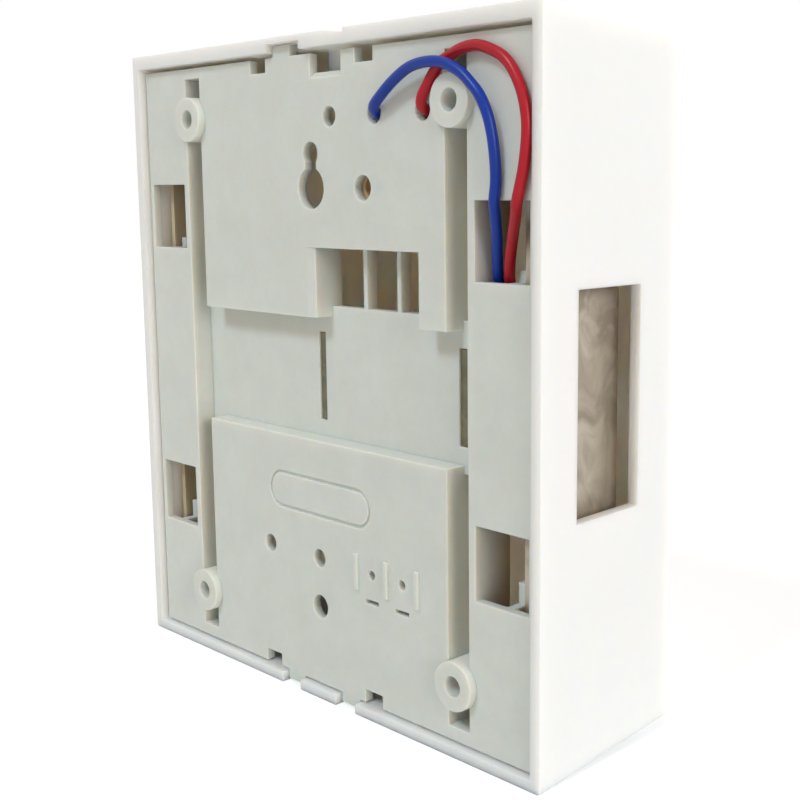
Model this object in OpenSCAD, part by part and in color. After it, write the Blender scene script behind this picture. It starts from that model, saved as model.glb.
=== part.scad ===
// Two-note door chime, seen from behind in its case: a moulded base plate screws to the wall,
// carries a solenoid, two tone plates and the terminals, and a tapered cover snaps over it.
// +Z is up, the front faces -Y, and the wall is the plane y = 0. The origin is the middle of
// the four wall screws on that plane.

/* [Case] */
// Width of the cover at the wall
case_w = 139; // [132:0.5:150]
// Height of the cover at the wall
case_h = 149.2; // [147:0.1:160]
// Depth from the rim to the front face
case_d = 44; // [42:0.5:60]
// Wall thickness of the cover at the sides and the front
case_wall = 2.6; // [2:0.1:3]
// Wall thickness of the cover at the top
top_wall = 3.1; // [2.6:0.1:3.4]
// Wall thickness of the cover at the bottom
low_wall = 2.3; // [2:0.1:3]
// How far each side leans in from the rim to the front
case_draft = 2.3; // [1:0.1:3]
// Edge radius of the cover
case_r = 0.6; // [0.3:0.1:1]
// Gap between the rim and the wall
rim_gap = 0.2; // [0.1:0.1:0.5]
// Middle of the cover above the middle of the wall screws
case_rise = 0.4; // [0:0.1:0.6]

/* [Front panel] */
// Height of the raised field on the front face
field_h = 104; // [60:1:120]
// Middle of the raised field above the middle of the cover
field_rise = 17.5; // [0:0.5:18]
// How far the raised field stands out of the front face
field_proud = 1.1; // [0.5:0.1:2]
// Border between the raised field and the sides
field_border = 0.7; // [0.5:0.1:3]
// Number of bands that the raised field is divided into
field_bands = 3; // [2:1:5]
// Width of the line between two bands
field_line = 0.8; // [0.5:0.1:2]

/* [Sound windows] */
// Size of each side window along the depth
sound_w = 20.5; // [12:0.5:22]
// Height of each side window
sound_h = 45.5; // [20:0.5:60]
// Middle of each side window in front of the rim
sound_setback = 21.3; // [18:0.1:24]

/* [Base plate] */
// How far the plate lies inside the rim
plate_inset = 1.9; // [1.5:0.1:2.5]
// Thickness of the plate
plate_t = 2.2; // [1.8:0.1:2.6]
// Gap between the plate and the cover at the sides
plate_gap = 0.6; // [0.5:0.1:1]
// Gap between the plate and the cover at the bottom
plate_low_gap = 0.5; // [0.5:0.1:1]
// Gap between the plate and the cover at the top
plate_top_gap = 1; // [0.6:0.1:1.4]

/* [Wall screws] */
// Distance between the wall screws, across
screw_span_x = 91; // [88:0.5:93]
// Distance between the wall screws, up
screw_span_z = 117.5; // [114:0.5:119]
// Diameter of the wall screw holes
screw_hole_d = 4.5; // [3.5:0.1:5]
// Diameter of the bosses round them
boss_d = 10.5; // [9:0.1:11]

/* [Stiffening channels] */
// Width of the channels that join the bosses
channel_w = 6.2; // [5:0.1:7]
// Depth of the channels below the back of the plate
channel_depth = 8.2; // [6:0.1:8.4]
// Wall of the channels and of the recess
channel_wall = 1.9; // [1.5:0.1:2.1]
// How far a channel runs past the middle of its boss
channel_run = 9.7; // [8:0.1:9.8]

/* [Cable recess] */
// Height of the recess across the middle
recess_h = 27.8; // [26:0.2:30]
// Depth of the recess below the back of the plate
recess_depth = 5; // [4:0.1:5.4]
// Thickness of its floor
recess_floor = 2; // [1.5:0.1:2.4]
// Middle of the three cable cells, across
cells_x = -17.5; // [-18:0.1:-17]
// Distance from one cable cell to the next
cell_pitch = 11; // [10:0.1:11.2]
// Rib between two cells
cell_rib = 1.2; // [1:0.1:2]
// Lower edge of the cells
cell_low = 16.2; // [16:0.1:18]
// Upper edge of the cells
cell_high = 29.4; // [28:0.1:30]
// How far the frame of the cells stands in front of the recess floor
cell_frame = 1; // [0.5:0.1:2]
// Width of the shallow bevel on the panel beside the cells
cell_bevel_w = 2.5; // [1.5:0.1:3]
// Depth of that bevel
cell_bevel_d = 0.5; // [0.3:0.1:0.8]

/* [Keyhole] */
// Diameter of the mouth that the screw head passes
key_mouth_d = 9; // [8:0.1:9.4]
// Diameter of the seat at the top
key_seat_d = 5.2; // [4.3:0.1:5.5]
// Width of the neck between them
key_neck_w = 3.9; // [3.5:0.1:4.2]
// Height of the mouth
key_mouth_z = 42.3; // [41:0.1:43]
// Height of the seat above the mouth
key_rise = 7.4; // [7:0.1:8]

/* [Small holes] */
// Diameter of the three lead holes
lead_hole_d = 4.3; // [4:0.1:5]
// Distance from one lead hole to the next
lead_pitch = 14.7; // [14.6:0.1:14.8]
// Middle lead hole, across
lead_x = -21.5; // [-21.6:0.1:-21.4]
// Height of the lead holes
lead_z = 57.4; // [57.3:0.1:57.5]
// Diameter of the larger spare holes
spare_d = 5.4; // [4:0.1:6]
// Diameter of the smaller spare holes
spare_small_d = 4.2; // [3:0.1:5]
// Length of the knock-out outline
knockout_w = 36.5; // [30:0.5:45]
// Height of the knock-out outline
knockout_h = 9; // [6:0.5:12]
// Width of the line that marks the knock-out
knockout_line = 0.8; // [0.5:0.1:1.5]
// Depth of that line
knockout_cut = 0.5; // [0.3:0.1:1]

/* [Latches] */
// Width of the prongs that locate the cover
prong_w = 6.3; // [5:0.1:6.6]
// Middle of each prong from the line between them
prong_x = 10; // [9.8:0.1:10.2]
// Line between the prongs, across
prong_mid = -0.4; // [-0.6:0.1:0]
// Side clearance of the prongs in the cover
prong_gap = 0.3; // [0.2:0.1:0.5]
// Outer skin left beyond the tip of a lower prong
prong_short = 0.6; // [0.4:0.1:1.2]
// Width of the snap tongue on the cover
tongue_w = 9; // [6:0.5:9.5]
// Middle of the snap tongue, across
tongue_x = -5.8; // [-6:0.1:-5.5]
// Thickness of the snap tongue
tongue_t = 1.6; // [1:0.1:1.8]

/* [Tone plates] */
// Length of the low-note plate, on the +X side
low_len = 129; // [126:0.5:131]
// Length of the high-note plate, on the -X side
high_len = 116; // [112:0.5:118]
// Width of both tone plates
tone_w = 26.4; // [20:0.1:27]
// Thickness of both tone plates
tone_t = 1.4; // [1:0.1:2]
// Middle of the high-note plate inside the outer edge of the rim
tone_setback = 8.6; // [8.4:0.1:9.5]
// How much closer to the rim the low-note plate stands
low_out = 2; // [0:0.1:2]
// Diameter of the pegs that carry the tone plates
peg_d = 4; // [3:0.1:4.5]
// Height of the square windows behind the pegs
peg_window_h = 15.6; // [14:0.1:16]

/* [Grommets] */
// Flange diameter of the grommets
grommet_d = 9.6; // [8.6:0.1:11]
// Diameter of the hole in the tone plate
grommet_seat_d = 7.6; // [6.8:0.1:8]
// Thickness of each flange
grommet_flange = 0.8; // [0.6:0.1:0.9]

/* [Solenoid] */
// Distance between the middles of the two yoke cheeks
yoke_span = 45.7; // [44:0.1:48]
// Middle of the yoke inside the inner face of the high-note plate
yoke_setback = 40.85; // [40:0.05:42]
// Width of the yoke strip
yoke_w = 19.9; // [18:0.1:21]
// Thickness of the yoke strip
yoke_t = 2; // [1.5:0.1:2.4]
// Side of the square bobbin flanges
flange_w = 20; // [18:0.1:21]
// Thickness of the bobbin flanges
flange_t = 1.4; // [1:0.1:2]
// Outer diameter of the bobbin tube
tube_d = 11; // [10.2:0.1:12]
// Diameter of the winding
winding_d = 18; // [14:0.1:18]
// Pitch of the two coil pins
pin_pitch = 8; // [7.9:0.1:8.1]

/* [Plunger] */
// Diameter of the steel core
core_d = 8; // [7:0.1:8.4]
// Length of the steel core
core_len = 40; // [36:0.5:42]
// Running clearance round the core, in diameter
core_gap = 0.6; // [0.3:0.1:0.8]
// Travel towards the low-note plate
strike_out = 7; // [5:0.1:7]
// Overshoot towards the high-note plate
strike_back = 3; // [2:0.1:3.2]
// Gap that stays between a striker and its plate at the end of the travel
strike_gap = 0.3; // [0.2:0.1:0.5]
// Diameter of the striker rod and noses
rod_d = 5; // [4:0.1:6]
// Diameter of the spring's collar
collar_d = 11.4; // [11:0.1:12]

/* [Return spring] */
// Wire of the return spring
spring_wire = 0.5; // [0.3:0.05:0.6]
// Turns of the return spring
spring_turns = 5; // [4:1:5]
// Mean diameter of the return spring
spring_d = 10; // [9.6:0.1:10.4]

/* [Terminal strip] */
// Middle of the terminal strip, across
strip_x = -18; // [-18.2:0.1:-17.8]
// Middle of the terminal strip, up
strip_z = 42.6; // [42.4:0.1:42.8]
// Distance from one pole to the next
pole_pitch = 9.4; // [9.2:0.1:9.6]
// Width of a pole
pole_w = 5.6; // [5:0.1:5.8]
// Length of a pole
pole_len = 16; // [15.8:0.1:16.2]
// Height of a pole above the plate
pole_h = 11.4; // [10:0.1:14]
// Outer diameter of the brass sleeves
sleeve_d = 3.8; // [3.4:0.1:4.2]
// Bore of the brass sleeves
sleeve_bore = 2.6; // [2:0.1:2.8]
// Thread diameter of the clamping screws
clamp_d = 2.2; // [1.8:0.1:2.4]
// Head diameter of the clamping screws
clamp_head_d = 3.4; // [3:0.1:3.8]

/* [Push terminal] */
// Distance between its two contacts
push_pitch = 9.9; // [9.5:0.1:10.5]
// Height of the row of small wire holes
push_z = -41.5; // [-43:0.1:-40]
// Middle of the push terminal, across
push_x = -23.3; // [-24:0.1:-22]
// Depth of its housing
push_d = 9; // [7:0.5:12]
// Diameter of its wire holes
push_hole_d = 2.2; // [1.8:0.1:2.6]

/* [Leads] */
// Diameter of the blue and red leads
lead_d = 2.1; // [1.8:0.1:2.2]

/* [Hidden] */
$fn = 48;

// Small clearances and cutting allowance
cut = 1;
seat_gap = 0.1;
fit_gap = 0.2;
thread_gap = 0.05;

// Levels along Y, from the wall forward
plate_back = -plate_inset;
plate_front = plate_back - plate_t;
recess_back = plate_back - recess_depth;
recess_front = recess_back - recess_floor;
channel_back = plate_back - channel_depth;
channel_front = channel_back - channel_wall;
rim_back = -rim_gap;
face_front = rim_back - case_d;
axis_y = recess_front - 3 * seat_gap - flange_w / 2;
web_back = axis_y - flange_w / 2 - seat_gap;
web_front = web_back - yoke_t;

// Edges of the plate
plate_x = case_w / 2 - case_wall - plate_gap;
plate_top = case_rise + case_h / 2 - top_wall - plate_top_gap;
plate_low = case_rise - case_h / 2 + low_wall + plate_low_gap;
boss_x = screw_span_x / 2;
boss_z = screw_span_z / 2;
recess_x = boss_x + channel_w / 2;
channel_out = recess_x + channel_wall;
window_web = 1.3;
window_out = plate_x - window_web;
cell_extra = 0.55;
cells_in = cells_x + 1.5 * cell_pitch + cell_extra;
cells_out = cells_x - 1.5 * cell_pitch - cell_rib / 2 + thread_gap;
notch_in = 15.6;
notch_w = 5.8;
notch_d = 3;
tongue_side = 0.75;
tongue_slot_w = tongue_w + 2 * tongue_side;
tongue_slot_d = 5.3;
tongue_ramp = 1.3;
tongue_gap = 0.4;
prong_reach = 2.5;
pocket_over = 5;
catch_t = 1.6;
catch_lip = 1.2;
catch_reach = 6;
catch_front = plate_front - catch_reach;
catch_low = plate_top - tongue_slot_d;
catch_top = catch_low + catch_lip;
catch_lip_back = catch_front + catch_t;

// Tone plates and what carries them; a free bar sounds when held 0.224 of its length from each end
tone_x = case_w / 2 - tone_setback;
hold_share = 0.5 - 0.224;
tone_in = tone_x - tone_t / 2;
post_w = 1.9;
post_foot = 5;
post_step = 3.2;
arm_half = 3.2;
barb_step = 0.5;
barb_d = peg_d + 2 * barb_step;
barb_t = 0.9;
grommet_t = tone_t + 2 * seat_gap + 2 * grommet_flange;

// Solenoid along X
yoke_x = yoke_setback - tone_in;
cheek_in = yoke_span / 2 - yoke_t / 2;
cheek_out = yoke_span / 2 + yoke_t / 2;
bobbin_half = cheek_in - seat_gap;
bore_d = core_d + core_gap;
pin_w = 0.8;
pin_reach = 4;
pin_top = flange_w / 2 + pin_reach;
pin_x = yoke_x - bobbin_half + flange_t / 2;
leg_sunk = 0.4;
snap_t = 1.6;
snap_w = 8;
snap_lip = 1;
guide_x = 36;
guide_t = 3;
guide_half = 5;

// Plunger at rest: the core lies short of the middle of the coil by its travel
core_mid = yoke_x - strike_out;
core_right = core_mid - core_len / 2;
core_left = core_mid + core_len / 2;
long_tip = tone_in + low_out - strike_gap - strike_out;
short_tip = -tone_in + strike_gap + strike_back;
stub_d = 3;
stub_len = 6;
collar_t = 1.2;
nose_reach = 1.6;
collar_back = short_tip + nose_reach;
collar_face = collar_back + collar_t;
spring_seat = yoke_x - cheek_out;
shank_d = 6.4;

// Terminal strip
slab_t = 2.6;
slab_edge = 0.6;
slab_half = pole_pitch + pole_w / 2 + slab_edge;
slab_back = plate_front - seat_gap;
slab_front = slab_back - slab_t;
pole_front = slab_back - pole_h;
sleeve_rise = 3.4;
sleeve_y = slab_front - sleeve_rise;
sleeve_len = pole_len - 2;
clamp_z = 4;
clamp_head = 1.8;
clamp_sunk = 0.6;
fixing_d = 2.4;
fixing_head_d = 3.4;
fixing_head = 1.4;
fixing_pilot = 1.6;

// Push terminal
push_edge = 0.3;
push_w = 2 * (push_pitch + push_edge);
push_rise = 4.4;
push_drop = 8.4;
push_slot_drop = 6.2;
push_top = push_z + push_rise;
push_low = push_z - push_drop;
push_slot_z = push_z - push_slot_drop;
push_slot_w = 4.4;
push_slot_h = 1;
push_wall = 1.2;
contact_t = 0.4;
contact_w = 4;

// Routes of the leads, as chosen points
blue_route = [
  [-18, -10.2, 50.8], [-18.1, -10, 52.6], [-18.8, -8.6, 54.8], [-20, -6.4, 56.3],
  [-21.2, -4.1, 57], [-22, -1.9, 57.7], [-23.3, -0.4, 58.7], [-26.2, 0.3, 60.5],
  [-30.6, 0.7, 63.2], [-36, 1.2, 65.4], [-41.6, 1.6, 66], [-46, 1.5, 65.4],
  [-49.9, 1.2, 63.6], [-52.8, 1, 61.2], [-54.9, 0.8, 58.8], [-56.4, 0.4, 55.4],
  [-57.2, 0, 51.6], [-57.5, -0.4, 47.4], [-57.4, -0.7, 43.4], [-56.9, -0.8, 39.6],
  [-56, -2.1, 36.4], [-54.9, -3.6, 33], [-53.5, -5.2, 28.6], [-52.5, -6.8, 23.8],
  [-52.3, -8.8, 19.8], [-52.3, -11.6, 16.6], [-51.2, -14.2, 14.2], [-48.4, -15.4, 12.6],
  [-44.8, -15.3, 12.1], [-41, -15.2, 12]
];
red_route = [
  [-27.4, -10.2, 50.8], [-27.6, -10, 52.6], [-29, -9.2, 54.8], [-31.6, -7.9, 56.3],
  [-34.3, -6, 56.9], [-35.8, -4.2, 57.2], [-36.3, -2.6, 57.5], [-36.8, -1.1, 58.3],
  [-37.7, -0.5, 59.9], [-39.2, -0.6, 62], [-40.7, -0.7, 64], [-42.8, -0.8, 66],
  [-45.4, -1.1, 67.2], [-48.6, -0.8, 68.1], [-52.6, -0.7, 68.3], [-56.4, -0.7, 67.2],
  [-59.8, -0.7, 65.4], [-62.4, -0.7, 62.4], [-64.4, -0.7, 58.2], [-65.3, -0.7, 53],
  [-64.7, -0.7, 47], [-63.8, -0.7, 43.2], [-62.7, -0.8, 39.6], [-60.8, -2.4, 36.4],
  [-58.4, -4.2, 32.4], [-56.4, -5.6, 27.6], [-55.4, -7, 23.6], [-54.8, -10.4, 19.6],
  [-54.2, -14.2, 16.6], [-53, -17.8, 14.2], [-50.2, -21.2, 12.7], [-46.2, -23, 12.1],
  [-41, -23.2, 12]
];
lead_sides = 8;

// Colours
ivory = "#e9e8e1";
white = "#f7f7f5";
steel = "#9a958c";
zinc = "#b9b9b4";
nylon = "#f1efe6";
brass = "#c9a24e";
copper = "#b0622f";
rubber = "#3a3a3a";

// Shared shapes

// A 2-D outline in x and z, carried along Y from back to front
module slab(back, front) {
  translate([0, back, 0])
    rotate([90, 0, 0])
      linear_extrude(height = back - front)
        children();
}

// A box given by its limits along each axis
module block(x0, x1, y0, y1, z0, z1) {
  translate([x0, y0, z0])
    cube([x1 - x0, y1 - y0, z1 - z0]);
}

// A round bar along Y at a place on the plate
module bar_y(x, z, d, back, front) {
  translate([x, back, z])
    rotate([90, 0, 0])
      cylinder(d = d, h = back - front);
}

// A round bar along X on the axis of the plunger
module bar_x(x0, x1, d) {
  translate([x0, axis_y, 0])
    rotate([0, 90, 0])
      cylinder(d = d, h = x1 - x0);
}

// Both sides of the part
module both_sides() {
  children();
  mirror([1, 0, 0])
    children();
}

// A tapered block with round edges, wide at the wall and narrower at the front
module tapered_block(w, h, back, front, lean, r) {
  hull() {
    for (x = [-1, 1], z = [-1, 1]) {
      translate([x * (w / 2 - r), back, z * (h / 2 - r)])
        rotate([90, 0, 0])
          cylinder(r = r, h = 0.01, $fn = 32);
      translate([x * (w / 2 - lean - r), front + r, z * (h / 2 - lean - r)])
        sphere(r = r, $fn = 32);
    }
  }
}

// A round wire swept along a list of points
function unit(v) = v / norm(v);
function heading(p, i) = unit(p[min(i + 1, len(p) - 1)] - p[max(i - 1, 0)]);
function carried(n, t) = unit(n - (n * t) * t);
function normals(p, i, n) =
  i == len(p) ? [] : let (m = carried(n, heading(p, i))) concat([m], normals(p, i + 1, m));
function ring(c, t, n, r, sides) =
  [for (k = [0 : sides - 1]) c + r * (cos(360 * k / sides) * n + sin(360 * k / sides) * cross(t, n))];

module wire(p, d, sides, first) {
  n = normals(p, 0, first);
  last = len(p) - 1;
  rings = [for (i = [0 : last]) each ring(p[i], heading(p, i), n[i], d / 2, sides)];
  near_end = [for (k = [0 : sides - 1]) k];
  far_end = [for (k = [sides - 1 : -1 : 0]) last * sides + k];
  walls = [for (i = [0 : last - 1], k = [0 : sides - 1])
    let (a = i * sides + k, b = i * sides + (k + 1) % sides)
      each [[a, a + sides, b + sides], [a, b + sides, b]]];
  polyhedron(points = rings, faces = concat([near_end, far_end], walls));
}

// Base plate

module keyhole() {
  translate([0, key_mouth_z])
    circle(d = key_mouth_d);
  translate([0, key_mouth_z + key_rise])
    circle(d = key_seat_d);
  translate([-key_neck_w / 2, key_mouth_z])
    square([key_neck_w, key_rise]);
}

// Outline of a slot with round ends, lying across
module stadium(w, h) {
  square([w - h, h], center = true);
  for (s = [-1, 1])
    translate([s * (w - h) / 2, 0])
      circle(d = h);
}

// The channels above and below the recess, as wide as asked on each side
module channel_run_outline(grow) {
  for (s = [-1, 1])
    translate([boss_x - channel_w / 2 - grow, s > 0 ? recess_h / 2 : -boss_z - channel_run - grow])
      square([channel_w + 2 * grow, boss_z + channel_run + grow - recess_h / 2]);
}

module tub_outline(grow) {
  translate([-recess_x - grow, -recess_h / 2 - grow])
    square([2 * (recess_x + grow), recess_h + 2 * grow]);
  translate([cells_out - grow, 0])
    square([cells_in - cells_out + 2 * grow, cell_high + grow]);
}

// Hooked post that holds one peg; z is the height of the peg
module peg_post(z) {
  post_out = tone_x - grommet_t / 2 - seat_gap;
  post_top = z - (z > 0 ? 5.5 : 3.5);
  window_low = z - peg_window_h / 2;
  post_low = window_low - post_foot;
  block(post_out - post_w, post_out, axis_y - 2 * arm_half, plate_front, post_low, window_low);
  block(post_out - post_w, post_out, axis_y - 2 * arm_half, plate_front - post_step, post_low, post_top);
  block(post_out - post_w, post_out, axis_y - arm_half, axis_y + arm_half, post_low, z + arm_half);
  peg_end = tone_x + grommet_t / 2 + seat_gap;
  translate([post_out - post_w, axis_y, z])
    rotate([0, 90, 0])
      cylinder(d = peg_d, h = peg_end + barb_t - post_out + post_w);
  translate([peg_end, axis_y, z])
    rotate([0, 90, 0])
      cylinder(d1 = barb_d, d2 = peg_d - 2 * barb_step, h = barb_t);
}

module peg_windows(len) {
  for (s = [-1, 1])
    block(channel_out, window_out, plate_front - cut, plate_back + cut,
          s * hold_share * len - peg_window_h / 2, s * hold_share * len + peg_window_h / 2);
}

// Snap hooks that hold the yoke against the recess floor
module yoke_snaps() {
  near = yoke_w / 2 + fit_gap;
  for (s = [0, 1])
    mirror([0, 0, s]) {
      block(yoke_x - snap_w / 2, yoke_x + snap_w / 2, web_front - seat_gap - snap_t, recess_front,
            near, near + snap_t);
      block(yoke_x - snap_w / 2, yoke_x + snap_w / 2, web_front - seat_gap - snap_t,
            web_front - seat_gap, near - fit_gap - snap_lip, near + snap_t);
    }
}

// Rings, ribs and marks on the lower panel
module push_ribs() {
  rib_w = 1.2;
  rib_h = 8.3;
  rib_proud = 0.6;
  for (k = [-1 : 1])
    block(push_x + k * push_pitch - rib_w / 2, push_x + k * push_pitch + rib_w / 2,
          plate_back - cut, plate_back + rib_proud, push_z - rib_h / 2, push_z + rib_h / 2);
}

module small_holes() {
  lower_row = -41.3;
  lower_spare = -52.8;
  side_spare = 18.7;
  slab(plate_back + cut, plate_front - cut) {
    keyhole();
    for (k = [-1 : 1])
      translate([lead_x + k * lead_pitch, lead_z])
        circle(d = lead_hole_d);
    translate([cells_x, key_mouth_z])
      circle(d = spare_d);
    translate([0, lower_spare])
      circle(d = spare_d);
    for (x = [0, side_spare])
      translate([x, lower_row])
        circle(d = spare_small_d);
    for (k = [-0.5, 0.5])
      translate([push_x + k * push_pitch, 0]) {
        translate([0, push_z])
          circle(d = push_hole_d);
        translate([-push_slot_w / 2, push_slot_z - push_slot_h / 2])
          square([push_slot_w, push_slot_h]);
      }
  }
}

module knockout_mark() {
  knockout_z = -27.2;
  difference() {
    slab(plate_back + cut, plate_back - knockout_cut)
      translate([0, knockout_z])
        stadium(knockout_w, knockout_h);
    slab(plate_back + 2 * cut, plate_back - knockout_cut - cut)
      translate([0, knockout_z])
        stadium(knockout_w - 2 * knockout_line, knockout_h - 2 * knockout_line);
  }
}

module edge_notches() {
  for (s = [-1, 1]) {
    x0 = s > 0 ? notch_in : -notch_in - notch_w;
    block(x0, x0 + notch_w, plate_front - cut, plate_back + cut, plate_top - notch_d, plate_top + cut);
    block(x0, x0 + notch_w, plate_front - cut, plate_back + cut, plate_low - cut, plate_low + notch_d);
  }
  tongue_slot();
}

// Notch in the top edge, with a ramp down to the back of the plate
module tongue_slot() {
  low = plate_top - tongue_slot_d;
  translate([tongue_x - tongue_slot_w / 2, 0, 0])
    rotate([90, 0, 90])
      linear_extrude(height = tongue_slot_w)
        polygon([[plate_back + cut, low - cut], [plate_back - tongue_ramp, low + tongue_ramp],
                 [plate_front - cut, low + tongue_ramp], [plate_front - cut, plate_top + cut],
                 [plate_back + cut, plate_top + cut]]);
}

module prongs() {
  low_tip = case_rise - case_h / 2 + prong_short;
  top_x = prong_mid + prong_x;
  block(top_x - prong_w / 2, top_x + prong_w / 2, plate_front, plate_back,
        plate_top - cut, plate_top + prong_reach);
  for (x = [prong_mid - prong_x, prong_mid + prong_x])
    block(x - prong_w / 2, x + prong_w / 2, plate_front, plate_back, low_tip, plate_low + cut);
}

// Shelf below the top notch, with the lip that the cover's tongue snaps behind
module tongue_catch() {
  x0 = tongue_x - tongue_w / 2;
  block(x0, x0 + tongue_w, catch_front, plate_front, catch_low - catch_t, catch_low);
  block(x0, x0 + tongue_w, catch_front, catch_lip_back, catch_low - catch_t, catch_top);
}

// Post that steadies the long striker rod
module rod_guide() {
  block(guide_x - guide_t / 2, guide_x + guide_t / 2, axis_y - guide_half, recess_front,
        -guide_half, guide_half);
}

module base_plate() color(ivory) {
  difference() {
    union() {
      block(-plate_x, plate_x, plate_front, plate_back, plate_low, plate_top);
      slab(plate_back, recess_front)
        tub_outline(channel_wall);
      cell_frame_block();
      both_sides()
        slab(plate_back, channel_front)
          channel_run_outline(channel_wall);
      for (x = [-boss_x, boss_x], z = [-boss_z, boss_z])
        bar_y(x, z, boss_d, 0, channel_front);
      for (s = [-1, 1]) {
        peg_post_pair(s, s > 0 ? low_len : high_len);
      }
      push_ribs();
      prongs();
      tongue_catch();
      yoke_snaps();
      rod_guide();
    }
    difference() {
      union() {
        slab(plate_back + cut, recess_back)
          tub_outline(0);
        both_sides()
          channel_pockets();
      }
      for (x = [-boss_x, boss_x], z = [-boss_z, boss_z])
        bar_y(x, z, boss_d, cut, channel_front);
    }
    for (k = [-1 : 1])
      block(cells_x + k * cell_pitch - cell_pitch / 2 + cell_rib / 2,
            k > 0 ? cells_in : cells_x + k * cell_pitch + cell_pitch / 2 - cell_rib / 2,
            recess_front - cell_frame - cut, recess_back + cut, cell_low, cell_high);
    cell_edge_bevel();
    for (s = [-1, 1])
      yoke_slit(yoke_x + s * yoke_span / 2);
    for (x = [-boss_x, boss_x], z = [-boss_z, boss_z])
      bar_y(x, z, screw_hole_d, cut, channel_front - cut);
    peg_windows(low_len);
    mirror([1, 0, 0])
      peg_windows(high_len);
    small_holes();
    knockout_mark();
    edge_notches();
    for (s = [-1, 1])
      bar_y(strip_x + s * pole_pitch / 2, strip_z, fixing_d + 2 * thread_gap,
            plate_front + fixing_pilot, plate_front - cut);
    bar_x(guide_x - guide_t, guide_x + guide_t, rod_d + core_gap);
  }
}

// Frame round the three cells on the front of the recess floor
module cell_frame_block() {
  block(cells_out - channel_wall, cells_in + channel_wall, recess_front - cell_frame,
        recess_front + seat_gap, cell_low - cell_rib, cell_high + channel_wall);
}

// Bevel on the upright edge between the panel and the cell next to the middle
module cell_edge_bevel() {
  translate([cells_in, plate_back, recess_h / 2 - cut])
    linear_extrude(height = cell_high - recess_h / 2 + cut)
      polygon([[cell_bevel_w * (1 + cut / cell_bevel_d), cut], [-cut, cut],
               [-cut, -cell_bevel_d * (1 + cut / cell_bevel_w)]]);
}

module channel_pockets() {
  low = recess_h / 2 + channel_wall;
  for (s = [0, 1])
    mirror([0, 0, s]) {
      block(boss_x - channel_w / 2, boss_x + channel_w / 2, channel_back, plate_back + cut,
            low, boss_z + channel_run);
      block(boss_x - channel_w / 2, boss_x + channel_w / 2, recess_back, plate_back + cut,
            0, low + cut);
    }
}

module yoke_slit(x) {
  block(x - yoke_t / 2 - fit_gap, x + yoke_t / 2 + fit_gap, recess_front - cut, recess_back + cut,
        -yoke_w / 2 - fit_gap, yoke_w / 2 + fit_gap);
}

module peg_post_pair(side, len) {
  mirror([side > 0 ? 0 : 1, 0, 0])
    translate([side > 0 ? low_out : 0, 0, 0])
      for (s = [-1, 1])
        peg_post(s * hold_share * len);
}

// Front cover

module front_cover() color(white) {
  inner_w = case_w - 2 * case_wall;
  inner_h = case_h - top_wall - low_wall;
  lean_inside = case_draft * (case_d - case_wall) / case_d;
  translate([0, 0, case_rise]) {
    difference() {
      union() {
        tapered_block(case_w, case_h, rim_back, face_front, case_draft, case_r);
        raised_field();
      }
      translate([0, 0, (low_wall - top_wall) / 2])
        tapered_block(inner_w, inner_h, rim_back + 0.01, face_front + case_wall, lean_inside, case_r);
      for (s = [-1, 1])
        block(s > 0 ? tone_x : -case_w, s > 0 ? case_w : -tone_x,
              rim_back - sound_setback - sound_w / 2, rim_back - sound_setback + sound_w / 2,
              -sound_h / 2, sound_h / 2);
      rim_gaps();
      finger_dip();
    }
    snap_tongue();
  }
}

// Field on the front face, divided into bands by fine lines
module raised_field() {
  half = case_w / 2 - case_draft - field_border;
  band = field_h / field_bands;
  for (k = [0 : field_bands - 1])
    block(-half, half, face_front - field_proud, face_front + case_wall / 2,
          field_rise - field_h / 2 + k * band + (k > 0 ? field_line / 2 : 0),
          field_rise - field_h / 2 + (k + 1) * band - (k < field_bands - 1 ? field_line / 2 : 0));
}

// Gaps in the rim for the prongs
module rim_gaps() {
  half = prong_w / 2 + prong_gap;
  deep = plate_front - prong_gap;
  for (x = [prong_mid - prong_x, prong_mid + prong_x])
    block(x - half, x + half, deep, cut, -case_h / 2 - cut, -case_h / 2 + low_wall + cut);
  block(prong_mid + prong_x - half - pocket_over, prong_mid + prong_x + half, deep, cut,
        case_h / 2 - top_wall - cut, plate_top + prong_reach + prong_gap - case_rise);
}

// Shallow wedge in the top edge of the rim, where a finger frees the snap tongue
module finger_dip() {
  near = -6.7;
  far = -14;
  dip = 0.9;
  run = 6;
  top = case_h / 2;
  slab(cut, rim_back - run)
    polygon([[near, top], [far, top - dip], [far, top + cut], [near, top + cut]]);
}

// Snap tongue hanging from the top wall behind the lip of the plate's catch, just clear of it
module snap_tongue() {
  back = catch_lip_back + tongue_gap;
  block(tongue_x - tongue_w / 2, tongue_x + tongue_w / 2, back, back + tongue_t,
        catch_top + fit_gap - case_rise, case_h / 2 - top_wall / 2);
}

// Tone plates and grommets

module tone_plate(len) {
  difference() {
    block(tone_x - tone_t / 2, tone_x + tone_t / 2, axis_y - tone_w / 2, axis_y + tone_w / 2,
          -len / 2, len / 2);
    for (s = [-1, 1])
      translate([tone_x - tone_t, axis_y, s * hold_share * len])
        rotate([0, 90, 0])
          cylinder(d = grommet_seat_d + 2 * seat_gap, h = 2 * tone_t);
  }
}

module low_tone_plate() color(steel) {
  translate([low_out, 0, 0])
    tone_plate(low_len);
}

module high_tone_plate() color(steel) {
  mirror([1, 0, 0])
    tone_plate(high_len);
}

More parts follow.
